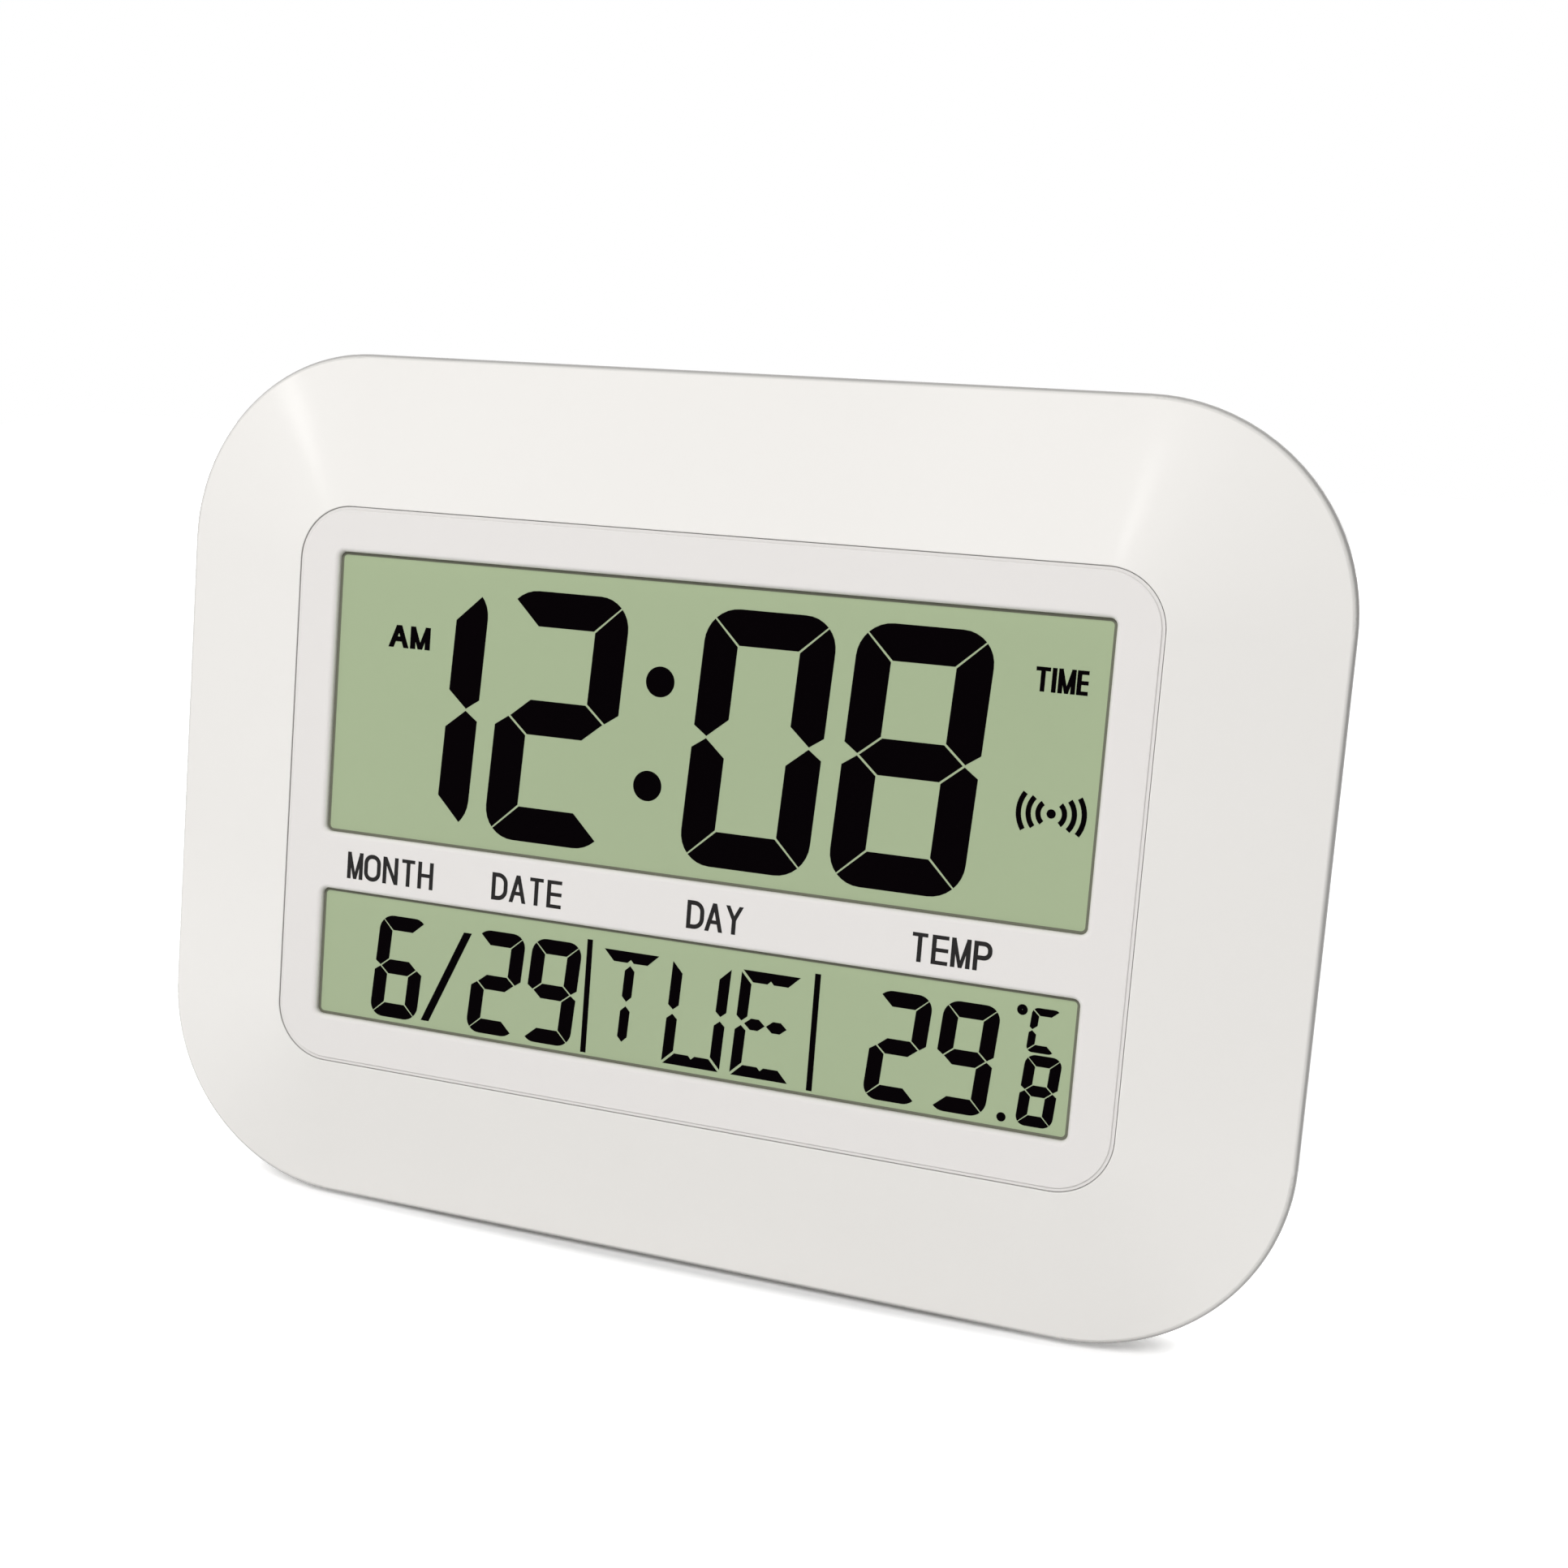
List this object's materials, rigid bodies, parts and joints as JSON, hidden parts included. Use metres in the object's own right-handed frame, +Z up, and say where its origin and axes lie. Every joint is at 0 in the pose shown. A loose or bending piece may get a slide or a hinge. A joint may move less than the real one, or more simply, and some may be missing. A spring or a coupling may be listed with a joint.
{
  "type": "digital wall clock",
  "caption": "Digital wall and desk clock: sloping white frame, flat panel with time and date LCD windows, rear keys, battery door, keyhole and fold-out stand.",
  "frame": {"origin": "middle of the bounding box at table level, with the clock standing on its rim and leg", "axes": "+X to the right of the face, +Z up, the face looks towards -Y and leans back 13.3 degrees"},
  "size_m": [0.226, 0.0562, 0.1634],
  "materials": {
    "case_white": "fine satin moulded white",
    "panel_white": "flat satin white",
    "cover_white": "fine spark-textured white",
    "key_grey": "satin grey",
    "lcd_face": "anti-glare polariser, grey green",
    "lcd_glass": "clear thin glass",
    "lcd_reflector": "matt silver film",
    "zebra_rubber": "striped silicone",
    "chassis_plastic": "moulded grey",
    "board_green": "solder mask",
    "chip_resin": "black resin",
    "can_steel": "bright can",
    "switch_black": "moulded black",
    "ferrite": "sintered dark grey",
    "copper": "enamelled wire",
    "buzzer_brass": "brass disc with ceramic",
    "sensor_bead": "dipped bead",
    "cell_jacket": "plain wrapped steel can",
    "contact_steel": "nickel plated",
    "screw_steel": "zinc plated",
    "segment_black": "dark liquid-crystal segments on the display",
    "legend_ink": "screen-printed dark lettering on the panel",
    "mark_grey": "pad-printed grey marks on the back"
  },
  "bodies": {
    "case": {"front_frame": "case_white", "display_panel": "panel_white", "lcd_front_polariser": "lcd_face", "lcd_front_glass": "lcd_glass", "lcd_rear_glass": "lcd_glass", "lcd_reflector": "lcd_reflector", "zebra_strip": "zebra_rubber", "display_chassis": "chassis_plastic", "main_circuit_board": "board_green", "controller_chip": "chip_resin", "quartz_crystal": "can_steel", "radio_receiver_module": "board_green", "tact_switches": "switch_black", "temperature_sensor": "sensor_bead", "ferrite_rod": "ferrite", "antenna_winding": "copper", "piezo_buzzer": "buzzer_brass", "rear_cover": "cover_white", "battery_cell_upper": "cell_jacket", "battery_cell_lower": "cell_jacket", "series_contact": "contact_steel", "positive_contact": "contact_steel", "negative_contact": "contact_steel", "case_screws": "screw_steel", "chassis_screws": "screw_steel", "board_screws": "screw_steel"},
    "stand": {"stand_leg": "cover_white"},
    "door": {"battery_door": "cover_white"},
    "set_key": {"set_button": "key_grey"},
    "up_key": {"up_button": "key_grey"},
    "down_key": {"down_button": "key_grey"},
    "alarm_key": {"alarm_button": "key_grey"},
    "receive_key": {"receive_button": "key_grey"},
    "unit_key": {"unit_button": "key_grey"}
  },
  "joints": [
    {"name": "stand_fold", "type": "hinge", "parent": "case", "child": "stand", "pos_m": [0, 0.00984, 0.08593], "axis": [1, 0, 0], "range_deg": [-24, 0]},
    {"name": "door_tilt", "type": "hinge", "parent": "case", "child": "door", "pos_m": [0.05565, 0.00318, 0.04753], "axis": [-1, 0, 0], "range_deg": [0, 80]},
    {"name": "set_press", "type": "slide", "parent": "case", "child": "set_key", "axis": [0, -0.9732, 0.23], "range_m": [0, 0.0006], "stiffness_N_per_m": 1500},
    {"name": "up_press", "type": "slide", "parent": "case", "child": "up_key", "axis": [0, -0.9732, 0.23], "range_m": [0, 0.0006], "stiffness_N_per_m": 1500},
    {"name": "down_press", "type": "slide", "parent": "case", "child": "down_key", "axis": [0, -0.9732, 0.23], "range_m": [0, 0.0006], "stiffness_N_per_m": 1500},
    {"name": "alarm_press", "type": "slide", "parent": "case", "child": "alarm_key", "axis": [0, -0.9732, 0.23], "range_m": [0, 0.0006], "stiffness_N_per_m": 1500},
    {"name": "receive_press", "type": "slide", "parent": "case", "child": "receive_key", "axis": [0, -0.9732, 0.23], "range_m": [0, 0.0006], "stiffness_N_per_m": 1500},
    {"name": "unit_press", "type": "slide", "parent": "case", "child": "unit_key", "axis": [0, -0.9732, 0.23], "range_m": [0, 0.0006], "stiffness_N_per_m": 1500}
  ]
}
